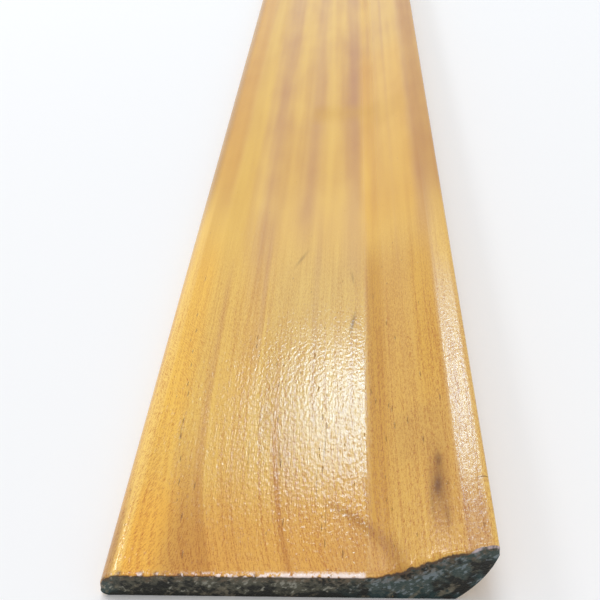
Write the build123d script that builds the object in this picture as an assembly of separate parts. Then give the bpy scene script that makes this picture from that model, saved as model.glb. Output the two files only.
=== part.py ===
from build123d import *
from math import cos, radians, sin, tan
import os

# Skirting board: one length of solid softwood, planed flat on its back and moulded on its face.
# It lies on its back, face up. X runs across the board, from the thin top edge at -X to the nose
# at +X, which stands on the floor once the board is fixed to a wall. Y runs along the board and
# Z through its thickness. The origin is the middle of the back. Sizes are in millimetres.

# The stock
board_length = 2400
board_width = 70
nose_thickness = 15
edge_thickness = 6

# The moulded face. The slope's foot and the crown's corner are measured from the floor side.
moulding_width = 20
nose_width = 7.2
nose_angle = 15
cove_radius = 8
crown_radius = 40
nose_arris_radius = 0.8

# The floor side, where a narrow lip bears on the floor and the heel behind it is backed off
floor_lip_height = 1.2
heel_setback = 6.5
heel_radius = 28
heel_arris_radius = 0.8

# The thin top edge
thumb_radius = 4
back_arris_radius = 1.5

# The sawn ends, whose arrises are eased all round
end_ease_radius = 0.6

# The most that a rounding takes of the room beside it
rounding_share = 0.95


def section_corners():
    """Return the named corners of the cross section before they are rounded."""
    floor_side = board_width / 2
    lip_top = Vector(floor_side, nose_thickness - nose_arris_radius)
    nose_centre = lip_top - Vector(nose_arris_radius, 0)
    nose_top = nose_centre + Vector(
        -nose_arris_radius * sin(radians(nose_angle)),
        nose_arris_radius * cos(radians(nose_angle)),
    )
    crown_place = floor_side - nose_width
    crown_height = nose_top.Y - (nose_top.X - crown_place) * tan(radians(nose_angle))
    return {
        "lip_foot": lip_top - Vector(0, floor_lip_height),
        "lip_top": lip_top,
        "nose_top": nose_top,
        "crown": Vector(crown_place, crown_height),
        "cove": Vector(floor_side - moulding_width, edge_thickness),
        "thumb": Vector(-floor_side, edge_thickness),
        "back_arris": Vector(-floor_side, 0),
        "heel": Vector(floor_side - heel_setback, 0),
    }


def radius_that_fits(radius, turn, room):
    """Return a rounding's radius, limited by the room beside a corner of this turn in degrees."""
    return min(radius, rounding_share * room / tan(radians(turn) / 2))


def corner_radii(corners):
    """Return the radius that rounds each named corner."""
    slope = corners["crown"] - corners["cove"]
    nose = corners["nose_top"] - corners["crown"]
    slope_angle = slope.get_angle(Vector(1, 0))
    crown_room = min(slope.length / 2, nose.length)
    edge_room = edge_thickness - back_arris_radius
    return {
        "crown": radius_that_fits(crown_radius, abs(slope_angle - nose_angle), crown_room),
        "cove": radius_that_fits(cove_radius, slope_angle, slope.length / 2),
        "thumb": radius_that_fits(thumb_radius, 90, edge_room),
        "back_arris": back_arris_radius,
        "heel": heel_arris_radius,
    }


def board_section():
    """Return the board's cross section as a sketch on the XZ plane."""
    corners = section_corners()
    face_and_back = ("nose_top", "crown", "cove", "thumb", "back_arris", "heel")
    with BuildSketch(Plane.XZ) as section:
        with BuildLine():
            Line(corners["lip_foot"], corners["lip_top"])
            RadiusArc(corners["lip_top"], corners["nose_top"], -nose_arris_radius)
            Polyline(*(corners[name] for name in face_and_back))
            RadiusArc(corners["heel"], corners["lip_foot"], -heel_radius)
        make_face()
        for name, radius in corner_radii(corners).items():
            fillet(section.vertices().sort_by_distance(corners[name])[0], radius)
    return section.sketch


def skirting_board():
    """Return the board: its section drawn out to length, with both ends eased."""
    smallest_rounding = min(nose_arris_radius, heel_arris_radius, back_arris_radius)
    with BuildPart() as board:
        extrude(board_section(), amount=board_length / 2, both=True)
        ends = board.faces().filter_by(Axis.Y)
        fillet(ends.edges(), min(end_ease_radius, rounding_share * smallest_rounding))
    return board.part


def main():
    """Build the board and write it as a STEP file named after its node."""
    os.makedirs("parts", exist_ok=True)
    board = skirting_board()
    export_step(board, "parts/skirting_board.step")
    size = board.bounding_box().size
    print(f"skirting_board: {size.X:.3f} x {size.Y:.3f} x {size.Z:.3f} mm, volume {board.volume:.0f} mm3")


main()
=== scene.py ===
import logging
from collections.abc import Callable
from dataclasses import dataclass, field, replace
from enum import Enum
from math import atan2, cos, pi, radians, sin, sqrt, tan

import bpy
from mathutils import Matrix, Vector


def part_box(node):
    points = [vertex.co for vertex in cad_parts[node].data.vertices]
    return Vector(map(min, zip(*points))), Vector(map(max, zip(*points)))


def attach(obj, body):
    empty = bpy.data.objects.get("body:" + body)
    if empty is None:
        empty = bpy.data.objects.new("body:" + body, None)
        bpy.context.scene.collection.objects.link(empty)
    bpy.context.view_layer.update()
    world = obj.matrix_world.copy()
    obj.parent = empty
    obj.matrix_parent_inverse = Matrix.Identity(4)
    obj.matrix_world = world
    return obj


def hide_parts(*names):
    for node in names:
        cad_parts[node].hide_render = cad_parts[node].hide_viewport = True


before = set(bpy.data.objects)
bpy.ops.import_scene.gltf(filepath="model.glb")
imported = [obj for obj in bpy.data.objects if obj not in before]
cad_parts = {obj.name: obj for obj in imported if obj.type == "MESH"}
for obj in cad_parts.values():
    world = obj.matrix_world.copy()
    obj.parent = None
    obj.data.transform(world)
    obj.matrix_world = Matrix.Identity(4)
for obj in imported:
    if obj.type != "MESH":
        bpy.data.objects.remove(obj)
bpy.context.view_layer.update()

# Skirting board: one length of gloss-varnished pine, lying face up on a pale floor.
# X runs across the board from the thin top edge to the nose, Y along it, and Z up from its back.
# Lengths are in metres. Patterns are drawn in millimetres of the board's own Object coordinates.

log = logging.getLogger("skirting_board")

MM = 0.001
PER_METRE = 1 / MM
PHOTO_PIXELS = 600
BOARD_NODE = "skirting_board"
Colour = tuple[float, float, float]
Span = tuple[float, float]


class Lay(Enum):
    """The side of the board that an outline follows."""

    FACE = 0
    BACK = 1


def arithmetic(operation: str, reflected: bool = False) -> Callable[..., "Reading"]:
    """Return a method that adds a Math node on a reading and on any other number it is given.

    Args:
        operation: The Math node's operation.
        reflected: Whether the other number comes first.

    Returns:
        The method, which returns the node's Reading.
    """

    def method(self: "Reading", *others: "Number") -> "Reading":
        """Return the operation's result."""
        values = (*others, self) if reflected else (self, *others)
        return self.sheet.maths(operation, *values)

    return method


class Reading:
    """A node socket that takes part in arithmetic, which adds the Math nodes it needs."""

    __add__ = __radd__ = arithmetic("ADD")
    __sub__ = arithmetic("SUBTRACT")
    __rsub__ = arithmetic("SUBTRACT", reflected=True)
    __mul__ = __rmul__ = arithmetic("MULTIPLY")
    __truediv__ = arithmetic("DIVIDE")
    __abs__ = arithmetic("ABSOLUTE")
    least = arithmetic("MINIMUM")
    most = arithmetic("MAXIMUM")
    root = arithmetic("SQRT")
    exponential = arithmetic("EXPONENT")

    def __init__(self, sheet: "NodeSheet", socket: bpy.types.NodeSocket) -> None:
        """Keep the sheet that the socket is drawn on and the socket itself."""
        self.sheet = sheet
        self.socket = socket

    def step(self, low: float, high: float) -> "Reading":
        """Return 0 at low and 1 at high, with a smooth change between. Low may be the larger."""
        inputs = {"Value": self, "From Min": min(low, high), "From Max": max(low, high)}
        if low > high:
            inputs |= {"To Min": 1.0, "To Max": 0.0}
        settings = {"interpolation_type": "SMOOTHSTEP"}
        return self.sheet.read("ShaderNodeMapRange", "Result", settings, inputs)

    def hill(self, centre: "Number", width: float) -> "Reading":
        """Return a smooth hill, 1 at the centre and about a third one width away."""
        away = (self - centre) / width
        return (away * away * -1.0).exponential()

    def plateau(self, rise: Span, fall: Span) -> "Reading":
        """Return 1 from the end of a rise to the start of a fall, and 0 beyond them."""
        return self.step(*rise) * self.step(fall[1], fall[0])


Number = Reading | float


class NodeSheet:
    """A node tree that nodes are drawn on by one method, with settings first and inputs after."""

    def __init__(self, tree: bpy.types.NodeTree) -> None:
        """Keep the tree."""
        self.tree = tree

    @classmethod
    def of(cls, owner: bpy.types.Material | bpy.types.World) -> "NodeSheet":
        """Return an empty sheet for a material's or a world's nodes."""
        owner.use_nodes = True
        owner.node_tree.nodes.clear()
        return cls(owner.node_tree)

    def node(
        self, kind: str, settings: dict | None = None, inputs: dict | None = None
    ) -> bpy.types.Node:
        """Add one node.

        Args:
            kind: The node's type name.
            settings: Its properties, set first.
            inputs: Values or links for its sockets, by identifier or by name.

        Returns:
            The new node.
        """
        node = self.tree.nodes.new(kind)
        for name, value in (settings or {}).items():
            setattr(node, name, value)
        for name, value in (inputs or {}).items():
            self.feed(self.socket_named(node.inputs, name), value)
        return node

    @staticmethod
    def socket_named(sockets: bpy.types.NodeInputs, name: str) -> bpy.types.NodeSocket:
        """Return the socket with this identifier, or else the enabled one with this name."""
        for socket in sockets:
            if socket.identifier == name:
                return socket
        return next(socket for socket in sockets if socket.name == name and socket.enabled)

    def feed(self, socket: bpy.types.NodeSocket, value: object) -> None:
        """Link a Reading or a socket to this socket, or write a plain value on it."""
        if isinstance(value, Reading):
            value = value.socket
        if isinstance(value, bpy.types.NodeSocket):
            self.tree.links.new(value, socket)
        elif socket.type == "RGBA":
            socket.default_value = (*value[:3], 1.0)
        else:
            socket.default_value = value

    def read(
        self, kind: str, output: str, settings: dict | None = None, inputs: dict | None = None
    ) -> Reading:
        """Add one node and return the Reading of its output with this identifier or name."""
        node = self.node(kind, settings, inputs)
        return Reading(self, self.socket_named(node.outputs, output))

    def maths(self, operation: str, *values: Number) -> Reading:
        """Add a Math node on one to three values."""
        inputs = dict(zip(("Value", "Value_001", "Value_002"), values))
        return self.read("ShaderNodeMath", "Value", {"operation": operation}, inputs)

    def vectors(self, operation: str, *values: object, scale: Number | None = None) -> Reading:
        """Add a Vector Math node whose output is a vector."""
        inputs = dict(zip(("Vector", "Vector_001", "Vector_002"), values))
        if scale is not None:
            inputs["Scale"] = scale
        return self.read("ShaderNodeVectorMath", "Vector", {"operation": operation}, inputs)

    def vector(self, x: Number, y: Number, z: Number) -> Reading:
        """Join three numbers into a vector."""
        return self.read("ShaderNodeCombineXYZ", "Vector", None, {"X": x, "Y": y, "Z": z})

    def parts(self, vector: Reading) -> tuple[Reading, Reading, Reading]:
        """Split a vector into its three numbers."""
        node = self.node("ShaderNodeSeparateXYZ", None, {"Vector": vector})
        return tuple(Reading(self, socket) for socket in node.outputs)

    def blend(self, share: Number, first: object, second: object, kind: str = "MIX") -> Reading:
        """Mix two colours by a share from 0 to 1."""
        settings = {"data_type": "RGBA", "blend_type": kind, "clamp_factor": True}
        inputs = {"Factor_Float": share, "A_Color": first, "B_Color": second}
        return self.read("ShaderNodeMix", "Result_Color", settings, inputs)

    def bumped(self, height: Reading, unit: float) -> Reading:
        """Return the normal of a surface that a height raises, in this unit's metres."""
        inputs = {"Strength": 1.0, "Distance": unit, "Height": height}
        return self.read("ShaderNodeBump", "Normal", None, inputs)

    def principled(self, colour: object, roughness: Number, inputs: dict) -> Reading:
        """Return a Principled shader with this colour and roughness and these other inputs."""
        inputs = {"Base Color": colour, "Roughness": roughness, **inputs}
        return self.read("ShaderNodeBsdfPrincipled", "BSDF", None, inputs)


@dataclass(frozen=True)
class Noise:
    """Smooth noise about 0.5, by the number of its features to the millimetre each way."""

    across: float
    along: float
    up: float
    detail: float
    seed: float
    scale: float = 1.0

    def at(self, sheet: NodeSheet, across: Number, along: Number, up: Number) -> Reading:
        """Return the noise at a place in millimetres."""
        place = sheet.vector(across * self.across, along * self.along, up * self.up)
        inputs = {"Vector": place, "W": self.seed, "Scale": self.scale, "Detail": self.detail}
        node = sheet.node("ShaderNodeTexNoise", {"noise_dimensions": "4D"}, inputs)
        return Reading(sheet, node.outputs[0])


def put(name: str, data: bpy.types.ID, place: Matrix | None = None) -> bpy.types.Object:
    """Return a new object with this data, in the scene at a place or at the origin."""
    held = bpy.data.objects.new(name, data)
    if place is not None:
        held.matrix_world = place
    bpy.context.scene.collection.objects.link(held)
    return held


@dataclass(frozen=True)
class BoardSection:
    """The moulded cross section, walked from the thin edge to the floor side."""

    width: float
    nose_thickness: float
    edge_thickness: float = 6 * MM
    moulding_width: float = 20 * MM
    nose_width: float = 7.2 * MM
    nose_angle: float = radians(15)
    cove_radius: float = 8 * MM
    crown_radius: float = 40 * MM
    nose_arris_radius: float = 0.8 * MM
    floor_lip_height: float = 1.2 * MM
    heel_setback: float = 6.5 * MM
    heel_radius: float = 28 * MM
    heel_arris_radius: float = 0.8 * MM
    thumb_radius: float = 4 * MM
    back_arris_radius: float = 1.5 * MM
    arc_pitch: float = 0.1 * MM
    least_arc_steps: int = 6

    @property
    def floor_side(self) -> float:
        """The X of the side that stands on the floor."""
        return self.width / 2

    def arc(
        self, centre: tuple[float, float], radius: float, start: float, end: float
    ) -> list[Vector]:
        """Return evenly spaced points of an arc in the plane of the section.

        Args:
            centre: Its centre's X and Z.
            radius: Its radius.
            start: The angle of its first point, from +X towards +Z.
            end: The angle of its last point.

        Returns:
            The points, both ends included.
        """
        count = max(self.least_arc_steps, round(abs(end - start) * radius / self.arc_pitch))
        turns = (start + (end - start) * step / count for step in range(count + 1))
        x, z = centre
        return [Vector((x + radius * cos(turn), 0, z + radius * sin(turn))) for turn in turns]

    def face(self) -> list[Vector]:
        """Return the face's outline, from the thin edge over the thumb round to the floor lip."""
        side = self.floor_side
        nose = (side - self.nose_arris_radius, self.nose_thickness - self.nose_arris_radius)
        nose_x = nose[0] - self.nose_arris_radius * sin(self.nose_angle)
        nose_z = nose[1] + self.nose_arris_radius * cos(self.nose_angle)
        crown_x = side - self.nose_width
        crown_z = nose_z - (nose_x - crown_x) * tan(self.nose_angle)
        foot_x = side - self.moulding_width
        slope = atan2(crown_z - self.edge_thickness, crown_x - foot_x)
        cove_x = foot_x - self.cove_radius * tan(slope / 2)
        into_crown = self.crown_radius * tan((slope - self.nose_angle) / 2)
        crown_end_x = crown_x + into_crown * cos(self.nose_angle)
        crown_end_z = crown_z + into_crown * sin(self.nose_angle)
        crown = (
            crown_end_x + self.crown_radius * sin(self.nose_angle),
            crown_end_z - self.crown_radius * cos(self.nose_angle),
        )
        thumb = (self.thumb_radius - side, self.edge_thickness - self.thumb_radius)
        cove = (cove_x, self.edge_thickness + self.cove_radius)
        return [
            *self.arc(thumb, self.thumb_radius, pi, pi / 2),
            *self.arc(cove, self.cove_radius, -pi / 2, slope - pi / 2),
            *self.arc(crown, self.crown_radius, pi / 2 + slope, pi / 2 + self.nose_angle),
            *self.arc(nose, self.nose_arris_radius, pi / 2 + self.nose_angle, 0),
        ]

    def back(self) -> list[Vector]:
        """Return the outline of the back, from the thin edge under the board to the floor lip."""
        side = self.floor_side
        arris = (self.back_arris_radius - side, self.back_arris_radius)
        foot = Vector((side - self.heel_setback, 0))
        lip = Vector((side, self.nose_thickness - self.nose_arris_radius - self.floor_lip_height))
        chord = lip - foot
        inward = Vector((-chord.y, chord.x)).normalized()
        rise = sqrt(self.heel_radius**2 - (chord.length / 2) ** 2)
        heel = (foot + lip) / 2 + inward * rise
        reach = self.heel_radius - self.heel_arris_radius
        rounding_z = self.heel_arris_radius
        rounding_x = heel.x + sqrt(reach**2 - (heel.y - rounding_z) ** 2)
        turn = atan2(rounding_z - heel.y, rounding_x - heel.x)
        top = atan2(lip.y - heel.y, lip.x - heel.x)
        return [
            *self.arc(arris, self.back_arris_radius, pi, 1.5 * pi),
            *self.arc((rounding_x, rounding_z), self.heel_arris_radius, -pi / 2, turn),
            *self.arc(heel, self.heel_radius, turn, top),
        ]

    def outlines(self) -> bpy.types.Object:
        """Return a curve object whose first line is the face's outline and second the back's."""
        curve = bpy.data.curves.new("board_outlines", "CURVE")
        curve.dimensions = "3D"
        for points in (self.face(), self.back()):
            spline = curve.splines.new("POLY")
            spline.points.add(len(points) - 1)
            for point, place in zip(spline.points, points):
                point.co = (*place, 1.0)
        return put(curve.name, curve)


@dataclass(frozen=True)
class Chip:
    """A place where the end arris is broken deeper than the rest."""

    across: float
    width: float
    depth: float


@dataclass(frozen=True)
class RolledArris:
    """The end arris, rolled over by sanding and varnish and chipped by the saw, in millimetres."""

    face_radius: float = 0.85
    slope_radius: float = 1.3
    back_radius: float = 0.25
    least_radius: float = 0.35
    slope: tuple[Span, Span] = ((49.0, 54.0), (65.0, 68.0))
    unevenness: float = 1.1
    lumps: Noise = Noise(1.0, 9.0, 0.0, 3.0, 4.0, 0.6)
    saw_relief: float = 0.10
    saw_fade: float = 0.06
    saw_marks: Noise = Noise(1.0, 5.0, 1.0, 3.0, 4.0, 0.9)
    chips: tuple[Chip, ...] = (
        Chip(2.0, 0.5, 0.5),
        Chip(6.4, 0.5, 0.5),
        Chip(9.2, 0.6, 0.6),
        Chip(24.5, 0.5, 0.4),
        Chip(29.0, 0.5, 0.35),
        Chip(53.6, 1.2, 0.7),
        Chip(56.6, 0.7, 0.6),
        Chip(59.5, 1.6, 0.5),
        Chip(64.8, 0.8, 0.4),
    )

    def radius(self, sheet: NodeSheet, across: Reading, end: Reading) -> Reading:
        """Return the face side's arris radius at a place across the board.

        Args:
            sheet: The Geometry Nodes sheet.
            across: Millimetres from the thin edge.
            end: The sign of the end.

        Returns:
            The radius in millimetres.
        """
        lumps = self.lumps.at(sheet, across, end, 0.0) - 0.5
        slope = across.plateau(*self.slope)
        radius = slope * (self.slope_radius - self.face_radius) + self.face_radius
        radius = radius + lumps * self.unevenness
        near = end.step(0.5, -0.5)
        for chip in self.chips:
            radius = radius + across.hill(chip.across, chip.width) * near * chip.depth
        return radius.most(self.least_radius)

    @staticmethod
    def inset(radius: Reading, from_end: Reading) -> Reading:
        """Return how far a quarter-round arris draws the outline in at a distance from the end."""
        short = radius - from_end.least(radius)
        return radius - (radius * radius - short * short).most(0.0).root()


@dataclass(frozen=True)
class SweptBoard:
    """The board's mesh, swept by Geometry Nodes along its length between the two outlines."""

    section: BoardSection
    length: float
    arris: RolledArris = field(default_factory=RolledArris)
    columns: int = 300
    stations: int = 117
    layers: int = 12
    crowding: float = 14.3
    end_softness: float = 0.5 * MM
    face_attribute: str = "face_share"

    def sizes(self) -> dict[str, float | int]:
        """Return the values of the tree's named inputs, lengths in metres."""
        return {
            "Length": self.length,
            "End softness": self.end_softness,
            "Crowding": self.crowding,
            "Back arris radius": self.arris.back_radius * MM,
            "Columns": self.columns,
            "Stations": self.stations,
            "Layers": self.layers,
        }

    def tree(self, finish: bpy.types.Material) -> bpy.types.NodeTree:
        """Draw the Geometry Nodes tree that sweeps the board, with named inputs for its sizes."""
        tree = bpy.data.node_groups.new("sweep_board", "GeometryNodeTree")
        face = tree.interface
        face.new_socket("Geometry", in_out="OUTPUT", socket_type="NodeSocketGeometry")
        face.new_socket("Outlines", in_out="INPUT", socket_type="NodeSocketObject")
        for name, value in self.sizes().items():
            kind = "NodeSocketInt" if isinstance(value, int) else "NodeSocketFloat"
            face.new_socket(name, in_out="INPUT", socket_type=kind)
        sheet = NodeSheet(tree)
        given = sheet.node("NodeGroupInput")
        size = {socket.name: Reading(sheet, socket) for socket in given.outputs if socket.name}
        cube = {
            "Size": (1.0, 1.0, 1.0),
            "Vertices X": size["Columns"],
            "Vertices Y": size["Stations"],
            "Vertices Z": size["Layers"],
        }
        block = sheet.read("GeometryNodeMeshCube", "Mesh", None, cube)
        place = sheet.read("GeometryNodeInputPosition", "Position")
        x, y, z = sheet.parts(place)
        across = x + 0.5
        layer = z + 0.5
        end = sheet.maths("SIGN", y)
        from_end = self.distance_from_end(0.5 - abs(y), size)
        source = {"Object": size["Outlines"]}
        outlines = sheet.read("GeometryNodeObjectInfo", "Geometry", None, source)
        face_point, face_way = self.sample(sheet, outlines, across, Lay.FACE)
        back_point, back_way = self.sample(sheet, outlines, across, Lay.BACK)
        face_x = sheet.parts(face_point)[0]
        across_mm = (face_x + self.section.floor_side) * PER_METRE
        radius = self.arris.radius(sheet, across_mm, end)
        face_inset = self.arris.inset(radius, from_end * PER_METRE)
        back_inset = self.arris.inset(size["Back arris radius"] * PER_METRE, from_end * PER_METRE)
        face_place = self.draw_in(sheet, face_point, face_way, face_inset * MM)
        back_place = self.draw_in(sheet, back_point, back_way, back_inset * -MM)
        settings = {"data_type": "VECTOR"}
        mixing = {"Factor_Float": layer, "A_Vector": back_place, "B_Vector": face_place}
        across_place = sheet.read("ShaderNodeMix", "Result_Vector", settings, mixing)
        relief = self.saw_relief(sheet, across_place, end, from_end)
        along = end * (size["Length"] / 2 - from_end - relief)
        swept = sheet.vectors("ADD", across_place, sheet.vector(0.0, along, 0.0))
        marking = {"Name": self.face_attribute, "Value": layer}
        board = block
        for kind, settings, inputs in (
            ("StoreNamedAttribute", {"data_type": "FLOAT"}, marking),
            ("SetPosition", {}, {"Position": swept}),
            ("SetShadeSmooth", {}, {}),
            ("RealizeInstances", {}, {}),
            ("SetMaterial", {}, {"Material": finish}),
        ):
            inputs = {"Geometry": board, **inputs}
            board = sheet.read(f"GeometryNode{kind}", "Geometry", settings, inputs)
        sheet.node("NodeGroupOutput", None, {"Geometry": board})
        return tree

    @staticmethod
    def distance_from_end(share: Reading, size: dict[str, Reading]) -> Reading:
        """Return a station's distance from its end, crowded towards the end.

        Args:
            share: The station's share of the length, 0 at its end and 0.5 in the middle.
            size: The tree's named inputs.

        Returns:
            The distance in metres, which reaches half the length in the middle.
        """
        half = size["Length"] / 2
        soft = size["End softness"]
        crowding = size["Crowding"]
        growth = ((share * crowding).exponential() - 1.0) / ((crowding / 2).exponential() - 1.0)
        reach = half * growth
        return reach * reach * (1.0 + soft / half) / (reach + soft)

    @staticmethod
    def sample(
        sheet: NodeSheet, outlines: Reading, across: Reading, lay: Lay
    ) -> tuple[Reading, Reading]:
        """Return an outline's place and direction at a share of its own length."""
        inputs = {"Curves": outlines, "Factor": across, "Curve Index": lay.value}
        node = sheet.node("GeometryNodeSampleCurve", {"mode": "FACTOR"}, inputs)
        return Reading(sheet, node.outputs["Position"]), Reading(sheet, node.outputs["Tangent"])

    @staticmethod
    def draw_in(sheet: NodeSheet, point: Reading, way: Reading, amount: Reading) -> Reading:
        """Move an outline's point square to its direction, to the right by a positive amount."""
        way_x, _, way_z = sheet.parts(way)
        right = sheet.vector(way_z, 0.0, way_x * -1.0)
        return sheet.vectors("ADD", point, sheet.vectors("SCALE", right, scale=amount))

    def saw_relief(
        self, sheet: NodeSheet, place: Reading, end: Reading, from_end: Reading
    ) -> Reading:
        """Return how far the saw's marks sink into the sawn face, in metres."""
        x, _, z = sheet.parts(sheet.vectors("SCALE", place, scale=PER_METRE))
        rough = self.arris.saw_marks.at(sheet, x, end, z)
        return rough * from_end.step(self.arris.saw_fade * MM, 0.0) * (self.arris.saw_relief * MM)

    def build(self, name: str, finish: bpy.types.Material) -> bpy.types.Object:
        """Sweep the board and return it as a plain mesh object with its finish."""
        outlines = self.section.outlines()
        host = put("board_sweep", bpy.data.meshes.new("board_sweep"))
        sweep = host.modifiers.new("sweep", "NODES")
        tree = self.tree(finish)
        sweep.node_group = tree
        values = {"Outlines": outlines, **self.sizes()}
        for item in tree.interface.items_tree:
            if item.in_out == "INPUT":
                sweep[item.identifier] = values[item.name]
        depsgraph = bpy.context.evaluated_depsgraph_get()
        mesh = bpy.data.meshes.new_from_object(host.evaluated_get(depsgraph))
        mesh.name = name
        host.modifiers.remove(sweep)
        bpy.data.objects.remove(host)
        bpy.data.objects.remove(outlines)
        return put(name, mesh)


@dataclass(frozen=True)
class Spot:
    """The place being coloured, in millimetres from the thin edge, the near end and the back.

    Its face is 1 on the board's face and 0 on its back.
    """

    sheet: NodeSheet
    across: Reading
    along: Reading
    up: Reading
    from_end: Reading
    face: Reading

    def noise(self, pattern: Noise) -> Reading:
        """Return this noise here."""
        return pattern.at(self.sheet, self.across, self.along, self.up)

    def swing(self, pattern: Noise) -> Reading:
        """Return this noise here, taken about 0."""
        return self.noise(pattern) - 0.5


@dataclass(frozen=True)
class Tint:
    """A tone laid over a colour, which comes up to its strength over a span of some reading."""

    tone: Colour
    span: Span
    strength: float = 1.0

    def over(self, colour: Reading, reading: Reading, share: Number = 1.0) -> Reading:
        """Return the colour with this tone over a share of it."""
        shown = reading.step(*self.span) * share * self.strength
        return reading.sheet.blend(shown, colour, self.tone)


@dataclass(frozen=True)
class Ring:
    """A growth ring's dark band, by its place across the grain, width and reach in millimetres."""

    across: float
    width: float
    strength: float
    start: float = -100.0
    stop: float = 9000.0
    fade: float = 30.0

    def share(self, grain: Spot) -> Reading:
        """Return the band's strength at a spot that follows the grain."""
        fading_in = (self.start, self.start + self.fade)
        shown = grain.along.plateau(fading_in, (self.stop - self.fade, self.stop))
        return grain.across.hill(self.across, self.width) * shown * self.strength


@dataclass(frozen=True)
class Patch:
    """A soft-edged area of another tone, in millimetres from the thin edge and the near end."""

    tone: Colour
    strength: float
    across: Span
    along: Span
    across_blur: float = 1.0
    along_blur: float = 8.0

    @staticmethod
    def inside(place: Reading, span: Span, blur: float) -> Reading:
        """Return 1 inside a span and 0 outside it, with this blur to each side of its two ends."""
        low, high = span
        return place.plateau((low - blur, low + blur), (high - blur, high + blur))

    def share(self, spot: Spot) -> Reading:
        """Return the patch's strength at a spot."""
        across = self.inside(spot.across, self.across, self.across_blur)
        return across * self.inside(spot.along, self.along, self.along_blur) * self.strength


@dataclass(frozen=True)
class Mark:
    """A dark mark in the wood, in millimetres from the thin edge and the near end."""

    across: float
    along: float
    half_width: float
    half_length: float
    strength: float
    lean: float = 0.0
    above: float = 0.0
    fade: float = 0.8

    def share(self, spot: Spot) -> Reading:
        """Return the mark's strength at a spot. It ends at its height above the back, if any."""
        middle = (spot.along - self.along) * self.lean + self.across
        length = spot.along.hill(self.along, self.half_length)
        share = spot.across.hill(middle, self.half_width) * length * self.strength
        return share * spot.up.step(self.above - self.fade, self.above) if self.above else share


@dataclass(frozen=True)
class Pores:
    """Resin canals cut open along the grain, as short dark dashes with a rim in half widths."""

    half_width: float = 0.13
    half_length: float = 0.95
    rim: Span = (1.3, 0.4)
    raggedness: float = 0.55
    rag: Noise = Noise(1.3, 0.6, 1.0, 2.0, 29.0)
    rows: Noise = Noise(0.35, 0.015, 0.1, 1.0, 23.0)
    row_strength: float = 1.6
    cells_per_mm: tuple[float, float, float] = (1.0, 0.28, 0.8)
    cell_pore: Span = (0.17, 0.08)
    chosen: Span = (0.88, 0.94)
    sparse_depth: float = 0.8
    out_of_reach: float = 100.0
    near_end: tuple[tuple[float, float], ...] = (
        (6.8, 88.0), (7.0, 73.0), (7.7, 67.0), (8.0, 59.5), (8.4, 54.8), (8.7, 48.5),
        (9.3, 45.5), (9.6, 37.5), (9.8, 33.0), (10.8, 27.0), (11.5, 21.0), (14.8, 20.0),
        (13.5, 13.0), (15.0, 4.5), (22.9, 64.0), (23.0, 61.0), (28.2, 54.8), (29.2, 48.0),
        (29.8, 37.5), (31.2, 25.5), (32.7, 11.5), (36.8, 57.5), (38.0, 46.5), (39.2, 38.0),
        (40.2, 35.5), (39.6, 24.0), (39.9, 10.5), (40.6, 7.0), (43.9, 5.0), (49.5, 45.5),
        (50.4, 42.3), (53.1, 39.7), (53.7, 38.3), (54.1, 33.5), (52.3, 30.8), (53.4, 66.3),
        (55.2, 59.8), (50.5, 78.5), (56.7, 33.5), (59.3, 27.0), (59.8, 45.0), (63.2, 36.6),
    )

    def placed(self, spot: Spot) -> Reading:
        """Return the depth of the pores listed one by one near the end."""
        stretch = self.half_width / self.half_length
        torn = spot.swing(self.rag) * self.raggedness
        flat = spot.sheet.vector(torn + spot.across, spot.along * stretch, torn)
        settings = {"operation": "DISTANCE"}
        nearest = self.out_of_reach
        for x, y in self.near_end:
            inputs = {"Vector": flat, "Vector_001": (x, y * stretch, 0.0)}
            away = spot.sheet.read("ShaderNodeVectorMath", "Value", settings, inputs)
            nearest = away.least(nearest)
        return nearest.step(*(self.half_width * share for share in self.rim))

    def sparse(self, spot: Spot) -> Reading:
        """Return the depth of the sparse pores that the whole board has."""
        across, along, up = self.cells_per_mm
        cells = spot.sheet.vector(spot.across * across, spot.along * along, spot.up * up)
        settings = {"voronoi_dimensions": "3D", "feature": "F1"}
        node = spot.sheet.node("ShaderNodeTexVoronoi", settings, {"Vector": cells, "Scale": 1.0})
        close = Reading(spot.sheet, node.outputs["Distance"])
        pick = spot.sheet.parts(Reading(spot.sheet, node.outputs["Color"]))[0]
        chosen = (pick + spot.swing(self.rows) * self.row_strength).step(*self.chosen)
        return close.step(*self.cell_pore) * chosen * self.sparse_depth

    def depth(self, spot: Spot) -> Reading:
        """Return the pores' depth, from 0 to 1."""
        return self.sparse(spot).most(self.placed(spot))


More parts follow.
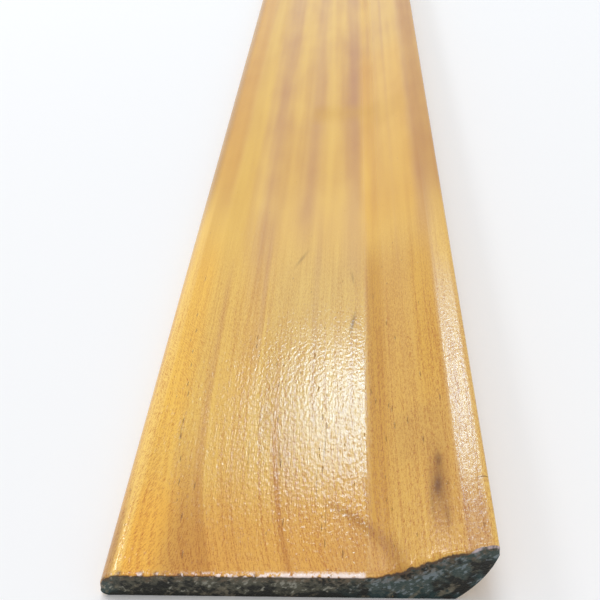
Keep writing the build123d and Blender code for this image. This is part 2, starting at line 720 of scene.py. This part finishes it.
@dataclass(frozen=True)
class NearFigure:
    """The brown tongue, the resin line and the curved sweep at the near end, in millimetres."""

    tongue: Tint = Tint((0.56, 0.255, 0.034), (44.0, 4.0), 0.92)
    tongue_across: Span = (7.0, 15.0)
    tongue_edge: Span = (14.6, 13.9)
    resin: Tint = Tint((0.50, 0.20, 0.025), (105.0, 10.0), 0.68)
    resin_across: float = 28.3
    resin_width: float = 0.75
    sweep: Tint = Tint((0.66, 0.36, 0.09), (16.0, 10.0), 0.6)
    sweep_start: float = 54.0
    sweep_bend: float = -0.049
    sweep_depth: Span = (-0.8, -3.0)
    sweep_across: Span = (38.0, 46.0)
    line: Tint = Tint((0.44, 0.20, 0.022), (18.0, 13.0), 0.75)
    line_offset: float = -0.3
    line_width: float = 1.7

    def lay(self, spot: Spot, grain: Spot, wood: Reading) -> Reading:
        """Return the wood's colour with the near end's own figure laid over it."""
        across, along = spot.across, spot.along
        tongue = across.step(*self.tongue_across) * grain.across.step(*self.tongue_edge)
        wood = self.tongue.over(wood, along, tongue)
        wood = self.resin.over(wood, along, grain.across.hill(self.resin_across, self.resin_width))
        sweep = across - (along * along * self.sweep_bend + self.sweep_start)
        below = sweep.step(*self.sweep_depth) * across.step(*self.sweep_across)
        wood = self.sweep.over(wood, along, below)
        return self.line.over(wood, along, sweep.hill(self.line_offset, self.line_width))


@dataclass(frozen=True)
class PineFigure:
    """The pine's grain and colour, with some painted light, as one solid pattern that the face,
    sides and back share.

    The figure softens from fine lines to broad bands at a distance from the ends. Sharpness and
    softening are in millimetres from the nearer end, and the other places across and along.
    """

    early: Colour = (0.78, 0.485, 0.100)
    late: Colour = (0.56, 0.29, 0.120)
    mark: Colour = (0.14, 0.042, 0.002)
    pore: Colour = (0.20, 0.085, 0.022)
    lift: Colour = (1.05, 1.06, 1.07)
    rings: tuple[Ring, ...] = (
        Ring(19.5, 3.6, 0.56, 70.0),
        Ring(32.4, 3.2, 0.60, 95.0),
        Ring(45.6, 3.2, 0.64, 70.0),
        Ring(67.4, 2.6, 0.55),
        Ring(13.2, 0.9, 0.40, -100.0, 110.0),
        Ring(22.9, 0.7, 0.45, 30.0, 120.0),
        Ring(30.6, 1.4, 0.35, -100.0, 50.0),
        Ring(36.2, 1.0, 0.35, 20.0, 120.0),
        Ring(52.0, 1.6, 0.30, 100.0),
        Ring(58.6, 0.7, 0.30),
    )
    patches: tuple[Patch, ...] = (
        Patch((0.70, 0.345, 0.052), 0.85, (17.0, 49.0), (-20.0, 18.0), 2.0, 14.0),
        Patch((0.79, 0.495, 0.075), 0.70, (9.3, 15.0), (110.0, 2300.0), 1.3, 30.0),
        Patch((0.68, 0.345, 0.045), 0.80, (-9.0, 8.8), (135.0, 2300.0), 1.6, 22.0),
        Patch((0.90, 0.520, 0.066), 0.75, (-9.0, 9.4), (22.0, 105.0), 2.2, 22.0),
        Patch((0.88, 0.450, 0.046), 0.85, (-9.0, 12.0), (-20.0, 20.0), 2.5, 9.0),
        # Painted highlight: a pale strip along the thumb round, where its reflected light runs.
        Patch((0.94, 0.620, 0.150), 0.80, (1.6, 4.3), (-20.0, 122.0), 0.45, 14.0),
        Patch((0.47, 0.240, 0.040), 0.75, (-9.0, 3.0), (128.0, 2300.0), 1.2, 20.0),
        Patch((0.50, 0.255, 0.060), 0.80, (-9.0, 2.7), (-20.0, 16.0), 0.6, 10.0),
        # Partly the wood's darker amber, partly painted shade: the slope and cove are darker near
        # the end, where they reflect no light.
        Patch((0.69, 0.390, 0.070), 0.75, (48.0, 64.8), (-20.0, 95.0), 0.45, 14.0),
        # Partly the darker amber by the cove, partly painted shade from the same missing reflection
        # near the end.
        Patch((0.585, 0.290, 0.022), 0.85, (48.6, 52.6), (-20.0, 98.0), 1.2, 12.0),
        Patch((0.70, 0.380, 0.035), 0.60, (59.8, 64.6), (38.0, 92.0), 1.2, 14.0),
        Patch((0.50, 0.230, 0.035), 0.65, (59.6, 63.4), (4.0, 24.0), 1.6, 6.0),
        Patch((0.62, 0.330, 0.060), 0.50, (61.0, 80.0), (136.0, 152.0), 2.0, 8.0),
        Patch((0.80, 0.450, 0.055), 0.50, (48.0, 63.0), (105.0, 235.0), 1.5, 14.0),
        # Painted reflection: these three darker patches draw a dark band across the face and slope,
        # an edge of the room reflected there.
        Patch((0.66, 0.370, 0.030), 0.42, (31.5, 55.0), (180.0, 190.0), 2.0, 5.0),
        Patch((0.60, 0.310, 0.030), 0.30, (31.0, 36.5), (178.0, 191.0), 1.6, 4.0),
        Patch((0.67, 0.370, 0.034), 0.40, (49.0, 63.0), (170.0, 186.0), 3.0, 6.0),
        Patch((0.55, 0.265, 0.050), 0.78, (64.2, 80.0), (120.0, 2300.0), 1.6, 26.0),
        Patch((0.58, 0.320, 0.065), 0.45, (54.0, 64.0), (23.0, 36.0), 1.6, 2.5),
        # Painted highlight: a paler tone on the nose's top where the window's reflection falls.
        Patch((0.76, 0.525, 0.240), 0.75, (64.8, 69.2), (14.0, 76.0), 0.6, 14.0),
        Patch((0.58, 0.300, 0.090), 0.80, (65.0, 69.0), (-20.0, 13.0), 0.6, 6.0),
        # Painted highlight tint: a less red tone where the window's reflection falls on the flat,
        # so that the reflection reads whiter.
        Patch((0.60, 0.400, 0.110), 0.45, (25.0, 49.4), (26.0, 96.0), 4.0, 20.0),
    )
    marks: tuple[Mark, ...] = (
        Mark(61.4, 15.5, 1.3, 6.5, 0.50),
        Mark(61.7, 21.0, 0.60, 1.7, 0.60),
        Mark(61.1, 15.2, 0.70, 2.0, 0.80, 0.08),
        Mark(4.2, 0.7, 0.50, 0.50, 0.80),
        Mark(8.2, 0.6, 0.45, 0.45, 0.80),
        Mark(10.9, 0.6, 0.45, 0.50, 0.80),
        Mark(39.9, 29.5, 0.14, 4.5, 0.50, 0.03),
        Mark(38.6, 20.5, 0.13, 4.0, 0.45, -0.02),
        Mark(40.6, 12.0, 0.12, 3.2, 0.45),
        Mark(24.6, 28.0, 0.14, 4.0, 0.35, -0.03),
        Mark(26.0, 38.0, 0.12, 4.0, 0.30),
        Mark(9.6, 34.0, 0.16, 3.2, 0.40, -0.04),
        Mark(31.0, 27.0, 0.20, 3.0, 0.45, -0.16),
        Mark(59.9, 12.5, 0.35, 4.0, 0.35),
        Mark(62.3, 8.5, 0.5, 2.2, 0.35),
        Mark(45.5, 69.0, 0.40, 3.5, 0.70, 0.14),
        Mark(45.4, 87.0, 0.35, 2.5, 0.35, -0.12),
        Mark(31.8, 96.0, 0.5, 3.0, 0.40, 0.40),
        Mark(69.2, 15.0, 1.2, 0.12, 0.95, above=13.8),
    )
    pores: Pores = field(default_factory=Pores)
    near_figure: NearFigure = field(default_factory=NearFigure)
    pore_tint: float = 0.55
    pore_softening: float = 0.75
    swirl: float = 6.8
    swirl_reach: float = 20.0
    swirl_width: tuple[Span, Span] = ((2.0, 20.0), (42.0, 62.0))
    ring_tilt: float = 0.45
    face_height: float = 6.0
    wander: Noise = Noise(0.03, 0.004, 0.0, 2.0, 3.0)
    wander_width: float = 6.0
    wander_rise: Span = (30.0, 300.0)
    softening: Span = (50.0, 130.0)
    sharpness: Span = (120.0, 50.0)
    crispness: float = 1.95
    least_crispness: float = 0.15
    drift: Noise = Noise(0.12, 0.008, 0.05, 2.0, 7.0)
    drift_strength: float = 1.1
    least_drift: float = 0.45
    fine_streaks: Noise = Noise(1.0, 0.010, 0.2, 3.0, 11.0)
    broad_streaks: Noise = Noise(0.28, 0.010, 0.1, 1.0, 12.0)
    streak_strength: float = 0.55
    clouds: Noise = Noise(0.10, 0.03, 0.1, 2.0, 19.0)
    cloud_strength: float = 0.6
    patch_cloudiness: float = 0.6
    soft_cloud_strength: float = 0.45
    threads: Noise = Noise(2.1, 0.030, 0.3, 2.0, 15.0)
    thread_strength: float = 1.35
    fibres: Noise = Noise(5.0, 0.95, 0.8, 3.0, 17.0)
    fibre_strength: float = 1.1
    fibre_lean: float = -0.40
    lean_across: Span = (26.0, 9.0)
    lean_reach: Span = (75.0, 35.0)
    specks: Noise = Noise(4.2, 3.2, 3.0, 2.0, 13.0)
    speck_strength: float = 0.75
    line_level: float = 0.20

    def along_grain(self, spot: Spot) -> Spot:
        """Return the spot with its place measured across the grain, which swirls near the end."""
        wander = spot.swing(self.wander) * spot.along.step(*self.wander_rise) * self.wander_width
        fading = (spot.along * (-1.0 / self.swirl_reach)).exponential()
        swirl = fading * spot.across.plateau(*self.swirl_width) * self.swirl
        tilt = (spot.up - self.face_height) * self.ring_tilt
        return replace(spot, across=spot.across - swirl + wander + tilt)

    def colour(self, spot: Spot) -> tuple[Reading, Reading, Reading]:
        """Return the plain wood's colour, the face's, and the depth of its pores, from 0 to 1."""
        sheet = spot.sheet
        grain = self.along_grain(spot)
        soft = spot.from_end.step(*self.softening)
        fine = grain.noise(self.fine_streaks) * (1.0 - soft)
        broad = grain.noise(self.broad_streaks) * soft
        streaks = (fine + broad - 0.5) * self.streak_strength
        clouds = spot.swing(self.clouds)
        rings = 0.0
        for ring in self.rings:
            rings = ring.share(grain) + rings
        dark = rings * (grain.noise(self.drift) * self.drift_strength + self.least_drift) + streaks
        dark = dark + clouds * self.cloud_strength
        plain = sheet.blend(dark.most(0.0).least(1.0), self.early, self.late)
        wood = plain
        clouded = clouds * self.patch_cloudiness + 1.0
        for patch in self.patches:
            wood = sheet.blend(patch.share(spot) * clouded, wood, patch.tone)
        wood = self.near_figure.lay(spot, grain, wood)
        lines = self.lines(spot, grain, soft) + streaks + clouds * soft * self.soft_cloud_strength
        lifted = sheet.blend(1.0, wood, self.lift, "MULTIPLY")
        wood = sheet.blend(lines, lifted, self.late, "MULTIPLY")
        for mark in self.marks:
            wood = sheet.blend(mark.share(spot), wood, self.mark)
        pores = self.pores.depth(spot) * (1.0 - soft * self.pore_softening)
        return plain, sheet.blend(pores * self.pore_tint, wood, self.pore), pores

    def lines(self, spot: Spot, grain: Spot, soft: Reading) -> Reading:
        """Return the darkness of the fibres, specks and threads, which softening fades."""
        leaning = spot.across.step(*self.lean_across) * spot.from_end.step(*self.lean_reach)
        lean = spot.along * leaning * self.fibre_lean
        fibres = replace(grain, across=lean + grain.across).swing(self.fibres)
        specks = spot.swing(self.specks) * self.speck_strength
        crisp = spot.from_end.step(*self.sharpness) * self.crispness + self.least_crispness
        threads = grain.swing(self.threads) * (1.0 - soft) * self.thread_strength
        return (fibres + specks) * crisp * self.fibre_strength + threads + self.line_level


@dataclass(frozen=True)
class GlossVarnish:
    """The clear gloss coat on the face: smooth, with orange peel and the fibres showing through.

    Heights and places are in millimetres. The coat levels itself towards flat on the nose's top.
    """

    ior: float = 1.5
    roughness: float = 0.12
    cove_roughness: float = 0.34
    slope_roughness: float = 0.20
    thumb_roughness: float = 0.24
    thumb_polish: float = 0.11
    polish: Span = (90.0, 25.0)
    cove: tuple[Span, Span] = ((48.0, 48.8), (52.0, 53.5))
    slope: Span = (52.0, 54.0)
    thumb: Span = (5.4, 4.2)
    peel: Noise = Noise(1.0, 0.70, 1.0, 1.5, 31.0, 1.55)
    peel_height: float = 0.068
    domes_per_mm: float = 1.15
    dome_height: float = 0.018
    dome_softness: float = 0.35
    dome_shake: float = 0.5
    fibre: Noise = Noise(3.4, 0.25, 1.0, 2.0, 37.0)
    fibre_height: float = 0.024
    near_fibre: float = 0.026
    near_fibre_reach: Span = (60.0, 20.0)
    coarse_reach: Span = (92.0, 46.0)
    far_relief: float = 0.25
    calm: tuple[Span, Span] = ((50.0, 54.0), (63.0, 65.0))
    calmness: float = 0.45
    swell: Noise = Noise(0.5, 0.07, 0.3, 1.5, 41.0)
    swell_height: float = 0.036
    pore_depth: float = 0.120
    bead: Noise = Noise(0.8, 0.5, 0.5, 2.0, 43.0)
    bead_height: float = 0.50
    bead_reach: Span = (1.4, 1.4 / 3)
    nose_start: float = 65.0
    nose_stop: float = 69.3
    nose_levelling: float = radians(12)

    def domes(self, spot: Spot, peel: Reading) -> Reading:
        """Return how far a place is from the middle of its dome in the orange peel."""
        shake = peel * self.dome_shake
        around = spot.across + spot.up * self.dome_shake + shake
        shaken = spot.sheet.vector(around, spot.along * self.peel.along + shake, 0.0)
        inputs = {"Vector": shaken, "Scale": self.domes_per_mm, "Smoothness": self.dome_softness}
        settings = {"voronoi_dimensions": "2D", "feature": "SMOOTH_F1"}
        return spot.sheet.read("ShaderNodeTexVoronoi", "Distance", settings, inputs)

    def height(self, spot: Spot, pores: Reading) -> Reading:
        """Return the height of the coat's surface, which gathers in beads on the end arris."""
        peel = spot.noise(self.peel)
        dome = self.domes(spot, peel)
        nose = spot.across.most(self.nose_start).least(self.nose_stop)
        levelled = nose * -tan(self.nose_levelling)
        calm = 1.0 - spot.across.plateau(*self.calm) * self.calmness
        bead = spot.from_end.step(*self.bead_reach) * calm * self.bead_height
        coarse = spot.from_end.step(*self.coarse_reach)
        coarse = coarse * (1.0 - self.far_relief) + self.far_relief
        fibrous = spot.from_end.step(*self.near_fibre_reach) * self.near_fibre + self.fibre_height
        relief = peel * self.peel_height + spot.noise(self.fibre) * fibrous
        relief = (relief - dome * dome * self.dome_height) * coarse * calm
        relief = relief + spot.noise(self.swell) * self.swell_height
        return relief - pores * self.pore_depth + levelled + spot.noise(self.bead) * bead

    def shader(self, spot: Spot, wood: Reading, pores: Reading) -> Reading:
        """Return the varnished wood's shader."""
        plain = self.roughness
        polished = spot.from_end.step(*self.polish) * self.thumb_polish
        roughness = spot.across.plateau(*self.cove) * (self.cove_roughness - plain) + plain
        roughness = spot.across.step(*self.slope) * (self.slope_roughness - plain) + roughness
        thumb = self.thumb_roughness - plain - polished
        roughness = spot.across.step(*self.thumb) * thumb + roughness
        normal = spot.sheet.bumped(self.height(spot, pores), MM)
        return spot.sheet.principled(wood, roughness, {"IOR": self.ior, "Normal": normal})


@dataclass(frozen=True)
class PlanedBack:
    """The bare planed back: paler, dry wood with the cutter's fine ripples, in millimetres."""

    pale: Colour = (0.68, 0.50, 0.29)
    line: Colour = (0.50, 0.32, 0.17)
    bareness: float = 0.52
    roughness: float = 0.72
    streaks: Noise = Noise(0.9, 0.008, 0.6, 3.0, 45.0)
    threads: Noise = Noise(3.6, 0.14, 1.8, 3.0, 46.0)
    streak_level: float = 0.40
    streak_strength: float = 1.5
    thread_strength: float = 1.3
    fibre: Noise = Noise(4.0, 0.3, 2.0, 3.0, 47.0)
    wobble: Noise = Noise(1.0, 1.0, 1.0, 1.0, 43.0, 0.05)
    wobble_width: float = 3.0
    cutter_pitch: float = 2.6
    ripple_share: float = 0.25
    relief: float = 0.05

    def shader(self, spot: Spot, wood: Reading) -> Reading:
        """Return the bare wood's shader."""
        sheet = spot.sheet
        bare = sheet.blend(self.bareness, wood, self.pale)
        streaks = (spot.noise(self.streaks) - self.streak_level) * self.streak_strength
        threads = spot.swing(self.threads) * self.thread_strength
        bare = sheet.blend(streaks + threads, bare, self.line)
        wobble = spot.noise(self.wobble) * self.wobble_width
        ripple = sheet.maths("SINE", (spot.along + wobble) * (2 * pi / self.cutter_pitch))
        normal = sheet.bumped(ripple * self.ripple_share + spot.noise(self.fibre), self.relief * MM)
        return sheet.principled(bare, self.roughness, {"Normal": normal})


@dataclass(frozen=True)
class SealerCoat:
    """The mottled colour of the end sealer, whose pattern runs over the sawn face in millimetres.

    It is greyer to the left and bluer to the right, with painted shade along the bottom, browner
    just under the face, and pale grey where it climbs an arris: partly its own tone, partly a
    painted sheen.
    """

    dark: Colour = (0.010, 0.010, 0.007)
    grey: Colour = (0.092, 0.088, 0.061)
    grey_range: Span = (0.33, 0.66)
    mottle: Noise = Noise(1.0, 0.02, 1.0, 3.5, 53.0, 1.2)
    blotch: Noise = Noise(1.0, 0.02, 1.0, 2.0, 59.0, 0.30)
    blotch_strength: float = 1.3
    face_strength: float = 0.20
    # Painted shade: the sealer darkens along the bottom, where the board meets the floor.
    low: Span = (2.0, 0.2)
    bottom_shade_strength: float = 0.32
    left: Span = (5.0, 0.0)
    right: Span = (38.0, 52.0)
    teal: Tint = Tint((0.024, 0.066, 0.070), (0.40, 0.56))
    left_teal: float = 0.7
    right_teal: float = 0.55
    light: Colour = (0.34, 0.33, 0.27)
    blue: Colour = (0.20, 0.24, 0.26)
    saw_angle: float = radians(38)
    scratch: Noise = Noise(1.0, 0.02, 0.35, 3.0, 61.0, 1.6)
    fleck_range: Span = (0.58, 0.72)
    fleck_mottle: float = 0.8
    fleck_blotch: float = 0.6
    fleck_strength: float = 0.8
    edge: Span = (0.62, 0.95)
    edge_flecks: float = 0.09
    edge_loss: float = 0.02
    dust: Tint = Tint((0.22, 0.19, 0.13), (0.58, 0.72), 0.6)
    dusting: Noise = Noise(1.0, 0.02, 0.35, 3.0, 67.0, 0.5)
    dust_mottle: float = 0.4
    burnt: Tint = Tint((0.15, 0.095, 0.052), (0.80, 1.0), 0.60)
    burnt_range: Span = (0.40, 0.65)
    # Painted sheen: the pale grey where the sealer climbs the nose's arris stands partly for light
    # reflected there.
    painted_arris_sheen: Tint = Tint((0.55, 0.45, 0.46), (0.20, 0.36))
    painted_sheen_range: Span = (0.52, 0.90)
    painted_sheen_mottle: float = 0.5

    def sawn(self, spot: Spot) -> Spot:
        """Return the spot turned to the saw's diagonal."""
        across = spot.across * cos(self.saw_angle) - spot.up * sin(self.saw_angle)
        up = spot.across * sin(self.saw_angle) + spot.up * cos(self.saw_angle)
        return replace(spot, across=across, up=up)

    def colour(self, spot: Spot) -> Reading:
        """Return the coat's colour."""
        sheet, across, face = spot.sheet, spot.across, spot.face
        sawn = self.sawn(spot)
        mottle = spot.noise(self.mottle)
        blotch = spot.noise(self.blotch)
        scratch = sawn.noise(self.scratch)
        right = across.step(*self.right)
        # Painted shade along the bottom of the sawn face.
        low = spot.up.step(*self.low) * self.bottom_shade_strength
        grey = mottle + (blotch - 0.5) * self.blotch_strength
        grey = grey + (face - 0.5) * self.face_strength - low
        colour = sheet.blend(grey.step(*self.grey_range), self.dark, self.grey)
        teal = right * self.right_teal + across.step(*self.left) * self.left_teal
        colour = self.teal.over(colour, blotch, teal)
        edged = (face.step(*self.edge) * self.edge_flecks - self.edge_loss) * right
        flecks = scratch + (mottle - 0.5) * self.fleck_mottle + (blotch - 0.5) * self.fleck_blotch
        flecks = (flecks - low + edged).step(*self.fleck_range) * self.fleck_strength
        colour = sheet.blend(flecks, colour, sheet.blend(right, self.light, self.blue))
        dusty = sawn.noise(self.dusting) + (mottle - 0.5) * self.dust_mottle
        colour = self.dust.over(colour, dusty)
        colour = self.burnt.over(colour, face, mottle.step(*self.burnt_range))
        # Where the painted sheen shows on the arris.
        painted_arris_sheen = (scratch + mottle * self.painted_sheen_mottle).step(*self.painted_sheen_range)
        return self.painted_arris_sheen.over(colour, spot.from_end, painted_arris_sheen)


@dataclass(frozen=True)
class EndSealer:
    """The dark sealer on the sawn ends, which breaks off raggedly at the arris, in millimetres."""

    coat: SealerCoat = field(default_factory=SealerCoat)
    roughness: float = 0.5
    sheen: float = 0.2
    relief: float = 0.25
    grain: Noise = Noise(1.0, 1.0, 1.0, 4.0, 71.0, 2.4)
    scorch: Colour = (0.034, 0.014, 0.005)
    # Painted highlight: pale beads along the flat's arris, partly bruised varnish and partly light
    # glinting on it.
    pale_bead_highlight: Colour = (1.0, 0.86, 0.80)
    bead_highlight_lumps: Noise = Noise(1.0, 0.9, 0.6, 2.0, 83.0, 1.1)
    bead_highlight_rise: float = 0.0055
    bead_highlight_range: Span = (0.60, 0.72)
    bead_highlight_across: Span = (48.2, 47.4)
    bead_highlight_spread: float = 2.0
    bead_highlight_from: Span = (0.20, 0.40)
    bead_highlight_reach: Span = (1.5, 0.8)
    slope: tuple[Span, Span] = ((49.0, 52.5), (63.0, 65.5))
    ragged: Noise = Noise(1.0, 0.02, 0.3, 3.0, 73.0)
    flat_raggedness: float = 0.34
    slope_raggedness: float = 0.35
    nose: Span = (64.6, 66.6)
    nose_climb: float = 0.48
    covered: Span = (0.24, 0.18)
    torn: Noise = Noise(1.0, 0.4, 0.3, 3.0, 79.0, 0.42)
    torn_range: Span = (0.56, 0.66)
    torn_reach: Span = (1.0, 0.5)
    torn_strength: float = 0.8
    torn_burn: float = 0.36
    slope_burn: float = 0.11
    scorched: Span = (0.50, 0.26)
    scorch_across: Span = (66.2, 64.4)

    def shader(self, spot: Spot) -> Reading:
        """Return the sealer's shader."""
        normal = spot.sheet.bumped(spot.noise(self.grain), self.relief * MM)
        inputs = {"Specular IOR Level": self.sheen, "Normal": normal}
        return spot.sheet.principled(self.coat.colour(spot), self.roughness, inputs)

    def pale_bead_highlights(self, spot: Spot) -> Reading:
        """Return the pale beads on the flat's arris, thicker by the cove: bruised varnish and a
        painted highlight.
        """
        lumps = spot.noise(self.bead_highlight_lumps)
        thick = (spot.across * self.bead_highlight_rise + lumps).step(*self.bead_highlight_range)
        thick = thick * spot.across.step(*self.bead_highlight_across)
        reach = spot.from_end + (lumps - 0.5) * self.bead_highlight_spread
        return thick * spot.from_end.step(*self.bead_highlight_from) * reach.step(*self.bead_highlight_reach)

    def cover(self, spot: Spot) -> tuple[Reading, Reading]:
        """Return how far the sealer covers the end arris, and the scorched line beside it."""
        across, from_end = spot.across, spot.from_end
        slope = across.plateau(*self.slope)
        raggedness = slope * self.slope_raggedness + self.flat_raggedness
        edge = from_end + spot.swing(self.ragged) * raggedness
        edge = edge - across.step(*self.nose) * self.nose_climb
        torn = spot.noise(self.torn).step(*self.torn_range)
        burnt = slope * (torn * self.torn_burn + self.slope_burn)
        bruised = torn * from_end.step(*self.torn_reach) * self.torn_strength
        scorched = (edge - burnt).step(*self.scorched).most(bruised)
        return edge.step(*self.covered), scorched * across.step(*self.scorch_across)


@dataclass(frozen=True)
class BoardFinish:
    """The board's whole finish: varnish on the face, bare wood on the back, sealer on the ends."""

    width: float
    length: float
    face_attribute: str
    varnished: Span = (0.15, 0.45)
    scorch_strength: float = 0.95
    bead_highlight_strength: float = 0.85
    figure: PineFigure = field(default_factory=PineFigure)
    varnish: GlossVarnish = field(default_factory=GlossVarnish)
    back: PlanedBack = field(default_factory=PlanedBack)
    sealer: EndSealer = field(default_factory=EndSealer)

    def spot(self, sheet: NodeSheet) -> Spot:
        """Return the place that the shader colours, from the board's Object coordinates."""
        object_place = sheet.read("ShaderNodeTexCoord", "Object")
        corner = (self.width / 2, self.length / 2, 0.0)
        place = sheet.vectors("SCALE", sheet.vectors("ADD", object_place, corner), scale=PER_METRE)
        across, along, up = sheet.parts(place)
        from_end = along.least(self.length * PER_METRE - along)
        face = sheet.read("ShaderNodeAttribute", "Fac", {"attribute_name": self.face_attribute})
        return Spot(sheet, across, along, up, from_end, face)

    def material(self) -> bpy.types.Material:
        """Build the material."""
        material = bpy.data.materials.new("varnished_pine")
        sheet = NodeSheet.of(material)
        spot = self.spot(sheet)
        plain, wood, pores = self.figure.colour(spot)
        covered, scorched = self.sealer.cover(spot)
        wood = sheet.blend(scorched * self.scorch_strength, wood, self.sealer.scorch)
        # Pale beads on the arris, partly a painted highlight.
        wood = sheet.blend(self.sealer.pale_bead_highlights(spot) * self.bead_highlight_strength, wood, self.sealer.pale_bead_highlight)
        face_shader = self.varnish.shader(spot, wood, pores)
        varnished = spot.face.step(*self.varnished)
        sides = self.mix(varnished, self.back.shader(spot, plain), face_shader)
        whole = self.mix(covered, sides, self.sealer.shader(spot))
        sheet.node("ShaderNodeOutputMaterial", None, {"Surface": whole})
        return material

    @staticmethod
    def mix(share: Reading, first: Reading, second: Reading) -> Reading:
        """Mix two shaders by a share from 0 to 1."""
        inputs = {"Fac": share, "Shader": first, "Shader_001": second}
        return share.sheet.read("ShaderNodeMixShader", "Shader", None, inputs)


def direction(azimuth: float, elevation: float) -> Vector:
    """Return the unit vector towards an azimuth, in degrees from +Y to +X, and an elevation."""
    turn = radians(azimuth)
    rise = radians(elevation)
    return Vector((sin(turn) * cos(rise), cos(turn) * cos(rise), sin(rise)))


def facing(azimuth: float, elevation: float) -> Matrix:
    """Return the rotation of a lamp that shines from a direction back towards the board."""
    return direction(azimuth, elevation).to_track_quat("Z", "Y").to_matrix().to_4x4()


@dataclass(frozen=True)
class Panel:
    """A soft lamp panel, by its direction and size in degrees from the board's near end."""

    name: str
    azimuth: float
    elevation: float
    wide: float
    tall: float
    radiance: float
    colour: Colour = (1.0, 1.0, 1.0)
    distance: float = 1.6

    def size(self, angle: float) -> float:
        """Return the length that subtends an angle in degrees at the panel's distance."""
        return 2 * self.distance * tan(radians(angle) / 2)


@dataclass(frozen=True)
class Overhead:
    """An even light from high above, wide enough for soft shadows."""

    azimuth: float = -10.0
    elevation: float = 78.0
    spread: float = 30.0
    irradiance: float = 0.85
    colour: Colour = (1.0, 0.95, 0.97)

    def hang(self) -> None:
        """Hang the light."""
        lamp = bpy.data.lights.new("overhead", "SUN")
        lamp.energy = self.irradiance
        lamp.angle = radians(self.spread)
        lamp.color = self.colour
        put(lamp.name, lamp, facing(self.azimuth, self.elevation))


@dataclass(frozen=True)
class Studio:
    """A plain pale floor under plain soft light."""

    near_end: Vector
    floor_width: float = 40.0
    floor_colour: Colour = (0.93, 0.93, 0.93)
    floor_roughness: float = 0.9
    floor_sheen: float = 0.1
    surround: float = 0.60
    panels: tuple[Panel, ...] = (
        Panel("window_core", -1.0, 45.2, 7.6, 9.4, 13.0, (0.54, 0.80, 1.0)),
        Panel("window_edge", 3.6, 45.6, 3.6, 9.0, 11.0, (0.44, 0.74, 1.0)),
        Panel("window_skirt", -4.0, 38.5, 9.0, 21.0, 0.75, (0.85, 1.0, 0.75)),
        Panel("left_panel", -51.0, 41.0, 7.5, 12.5, 12.0),
    )
    overhead: Overhead = field(default_factory=Overhead)

    def build(self) -> None:
        """Make the floor, the surround and the lamp panels."""
        self.lay_floor()
        self.light_surround()
        self.overhead.hang()
        for panel in self.panels:
            self.hang(panel)

    def lay_floor(self) -> None:
        """Lay the floor flush with the board's back."""
        half = self.floor_width / 2
        mesh = bpy.data.meshes.new("floor")
        corners = [(-half, -half, 0), (half, -half, 0), (half, half, 0), (-half, half, 0)]
        mesh.from_pydata(corners, [], [(0, 1, 2, 3)])
        floor = put("floor", mesh)
        material = bpy.data.materials.new("pale_floor")
        sheet = NodeSheet.of(material)
        inputs = {"Specular IOR Level": self.floor_sheen}
        surface = sheet.principled(self.floor_colour, self.floor_roughness, inputs)
        sheet.node("ShaderNodeOutputMaterial", None, {"Surface": surface})
        mesh.materials.append(material)

    def light_surround(self) -> None:
        """Light the scene evenly from all round, and show plain white behind it."""
        world = bpy.data.worlds.new("soft_surround")
        sheet = NodeSheet.of(world)
        rays = sheet.node("ShaderNodeLightPath")
        seen = 0.0
        for name in ("Is Camera Ray", "Is Glossy Ray", "Is Transmission Ray"):
            seen = Reading(sheet, rays.outputs[name]) + seen
        strength = seen.least(1.0) * (1.0 - self.surround) + self.surround
        inputs = {"Color": (1.0, 1.0, 1.0), "Strength": strength}
        background = sheet.read("ShaderNodeBackground", "Background", None, inputs)
        sheet.node("ShaderNodeOutputWorld", None, {"Surface": background})
        bpy.context.scene.world = world

    def hang(self, panel: Panel) -> None:
        """Hang one lamp panel, facing the board's near end."""
        lamp = bpy.data.lights.new(panel.name, "AREA")
        lamp.shape = "RECTANGLE"
        lamp.size = panel.size(panel.wide)
        lamp.size_y = panel.size(panel.tall)
        lamp.energy = pi * panel.radiance * lamp.size * lamp.size_y
        lamp.color = panel.colour
        place = self.near_end + direction(panel.azimuth, panel.elevation) * panel.distance
        put(panel.name, lamp, Matrix.Translation(place) @ facing(panel.azimuth, panel.elevation))


@dataclass(frozen=True)
class PhotoCamera:
    """The camera, where the photograph's own perspective puts it."""

    place: Vector = Vector((14.2, -1278.9, 129.1)) * MM
    aim: Vector = Vector((-2.75, -1121.8, 6.0)) * MM
    roll: float = radians(-4.92)
    focal_pixels: float = 800.0
    sensor_width: float = 36.0
    clip_start: float = 0.01

    def build(self) -> None:
        """Make the camera and set it as the scene's."""
        camera = bpy.data.cameras.new("photo_camera")
        camera.sensor_width = self.sensor_width
        camera.lens = self.sensor_width * self.focal_pixels / PHOTO_PIXELS
        camera.clip_start = self.clip_start
        look = (self.aim - self.place).to_track_quat("-Z", "Y").to_matrix().to_4x4()
        view = Matrix.Translation(self.place) @ look @ Matrix.Rotation(self.roll, 4, "Z")
        bpy.context.scene.camera = put(camera.name, camera, view)


def main() -> None:
    """Build the board, the studio and the camera."""
    logging.basicConfig(level=logging.INFO, format="%(message)s")
    low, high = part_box(BOARD_NODE)
    size = Vector(high) - Vector(low)
    section = BoardSection(width=size.x, nose_thickness=size.z)
    swept = SweptBoard(section=section, length=size.y)
    finish = BoardFinish(width=size.x, length=size.y, face_attribute=swept.face_attribute)
    board = swept.build("varnished_board", finish.material())
    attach(board, "root")
    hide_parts(BOARD_NODE)
    log.info("%s: %d faces", board.name, len(board.data.polygons))
    Studio(near_end=Vector((0.0, low[1], high[2]))).build()
    log.info("studio: floor, surround and lamp panels")
    PhotoCamera().build()
    log.info("camera: at the photograph's angle")
    bpy.context.scene.view_settings.view_transform = "Standard"


if __name__ == "__main__":
    main()
